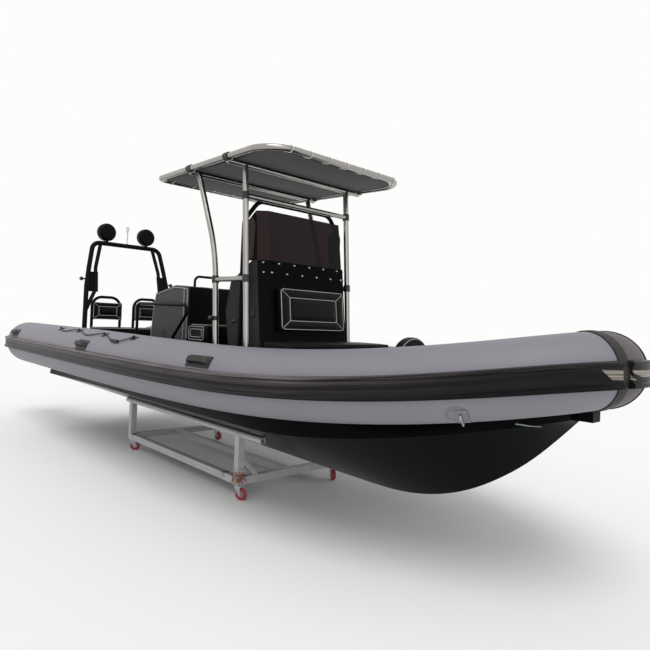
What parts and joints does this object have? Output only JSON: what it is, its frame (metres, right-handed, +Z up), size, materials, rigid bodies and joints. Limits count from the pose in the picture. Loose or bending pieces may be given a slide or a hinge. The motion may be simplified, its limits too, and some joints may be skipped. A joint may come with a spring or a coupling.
{
  "type": "rigid inflatable boat on a wheeled cradle",
  "caption": "Rigid-hull inflatable boat with steering console, T-top canopy, helm and bow seats, stern arch and cushions, parked on a low welded cradle with swivel casters.",
  "frame": {"origin": "on the floor under the middle of the boat's overall box", "axes": "+X towards the bow, +Y to port, +Z up"},
  "size_m": [8.0212, 2.5296, 2.888],
  "materials": {
    "collar_fabric": "satin coated fabric",
    "strake_rubber": "glossy",
    "hull_gelcoat": "gloss",
    "pad_plastic": "matte",
    "console_gelcoat": "gloss",
    "screen_acrylic": "tinted, gloss",
    "seat_vinyl": "satin",
    "polished_tube": "polished",
    "canopy_cloth": "matte",
    "arch_paint": "satin",
    "mast_plastic": "satin",
    "clamp_plastic": "satin",
    "rope": "matte",
    "cradle_paint": "worn satin",
    "caster_steel": "zinc plated",
    "caster_tread": "satin"
  },
  "bodies": {
    "boat": {"arch_frame": "arch_paint", "backrest_hoops": "arch_paint", "backrest_pads": "seat_vinyl", "bow_bands": "strake_rubber", "bow_bolster": "seat_vinyl", "bow_locker": "console_gelcoat", "canopy": "canopy_cloth", "canopy_frame": "polished_tube", "carry_handles": "strake_rubber", "caster_plates": "caster_steel", "collar_nose": "collar_fabric", "collar_port": "collar_fabric", "collar_starboard": "collar_fabric", "console": "console_gelcoat", "console_cushion": "seat_vinyl", "console_hoop": "arch_paint", "cradle_base": "cradle_paint", "cradle_posts": "cradle_paint", "cradle_rails": "cradle_paint", "engine_pad": "pad_plastic", "front_seat_base": "console_gelcoat", "grab_line": "rope", "grab_line_patches": "strake_rubber", "helm_seat_box": "console_gelcoat", "helm_seat_cushion": "seat_vinyl", "helm_seat_rails": "arch_paint", "helm_seat_unit": "seat_vinyl", "helm_throttle": "clamp_plastic", "hull": "hull_gelcoat", "light_mast": "mast_plastic", "rear_bench": "console_gelcoat", "rear_bench_cushion": "seat_vinyl", "rubbing_strake": "strake_rubber", "side_lights": "clamp_plastic", "spotlights": "arch_paint", "stem_block": "hull_gelcoat", "stern_cones": "collar_fabric", "t_top_aft_legs": "polished_tube", "t_top_crossbars": "polished_tube", "t_top_fore_legs": "polished_tube", "tow_eyes": "polished_tube", "transom": "hull_gelcoat", "tube_clamps": "clamp_plastic", "windscreen": "screen_acrylic"},
    "caster_fork_fore_starboard": {"caster_fork_fore_starboard": "caster_steel"},
    "caster_wheel_fore_starboard": {"caster_wheel_fore_starboard": "caster_tread"},
    "caster_fork_aft_starboard": {"caster_fork_aft_starboard": "caster_steel"},
    "caster_wheel_aft_starboard": {"caster_wheel_aft_starboard": "caster_tread"},
    "caster_fork_fore_port": {"caster_fork_fore_port": "caster_steel"},
    "caster_wheel_fore_port": {"caster_wheel_fore_port": "caster_tread"},
    "caster_fork_aft_port": {"caster_fork_aft_port": "caster_steel"},
    "caster_wheel_aft_port": {"caster_wheel_aft_port": "caster_tread"},
    "helm_wheel": {"helm_wheel": "arch_paint"},
    "front_seat_lid": {"front_seat_lid": "seat_vinyl"},
    "bow_locker_lid": {"bow_locker_lid": "seat_vinyl"}
  },
  "joints": [
    {"name": "swivel_fore_starboard", "type": "hinge", "parent": "boat", "child": "caster_fork_fore_starboard", "pos_m": [1.109, -0.545, 0.118], "axis": [0, 0, 1], "continuous": true},
    {"name": "roll_fore_starboard", "type": "hinge", "parent": "caster_fork_fore_starboard", "child": "caster_wheel_fore_starboard", "pos_m": [1.14095, -0.53337, 0.05], "axis": [0.342, -0.9397, 0], "continuous": true},
    {"name": "swivel_aft_starboard", "type": "hinge", "parent": "boat", "child": "caster_fork_aft_starboard", "pos_m": [-0.989, -0.545, 0.118], "axis": [0, 0, 1], "continuous": true},
    {"name": "roll_aft_starboard", "type": "hinge", "parent": "caster_fork_aft_starboard", "child": "caster_wheel_aft_starboard", "pos_m": [-0.97737, -0.51305, 0.05], "axis": [0.9397, -0.342, 0], "continuous": true},
    {"name": "swivel_fore_port", "type": "hinge", "parent": "boat", "child": "caster_fork_fore_port", "pos_m": [1.109, 0.545, 0.118], "axis": [0, 0, 1], "continuous": true},
    {"name": "roll_fore_port", "type": "hinge", "parent": "caster_fork_fore_port", "child": "caster_wheel_fore_port", "pos_m": [1.13981, 0.53063, 0.05], "axis": [-0.4226, -0.9063, 0], "continuous": true},
    {"name": "swivel_aft_port", "type": "hinge", "parent": "boat", "child": "caster_fork_aft_port", "pos_m": [-0.989, 0.545, 0.118], "axis": [0, 0, 1], "continuous": true},
    {"name": "roll_aft_port", "type": "hinge", "parent": "caster_fork_aft_port", "child": "caster_wheel_aft_port", "pos_m": [-0.95552, 0.5509, 0.05], "axis": [0.1736, -0.9848, 0], "continuous": true},
    {"name": "helm_turn", "type": "hinge", "parent": "boat", "child": "helm_wheel", "pos_m": [0.77, 0.09, 1.72], "axis": [-0.9701, 0, 0.2425], "range_deg": [-720, 720]},
    {"name": "front_seat_hinge", "type": "hinge", "parent": "boat", "child": "front_seat_lid", "pos_m": [1.758, 0, 1.266], "axis": [0, 1, 0], "range_deg": [0, 90]},
    {"name": "bow_locker_hinge", "type": "hinge", "parent": "boat", "child": "bow_locker_lid", "pos_m": [2.928, 0, 1.251], "axis": [0, 1, 0], "range_deg": [0, 90]}
  ]
}
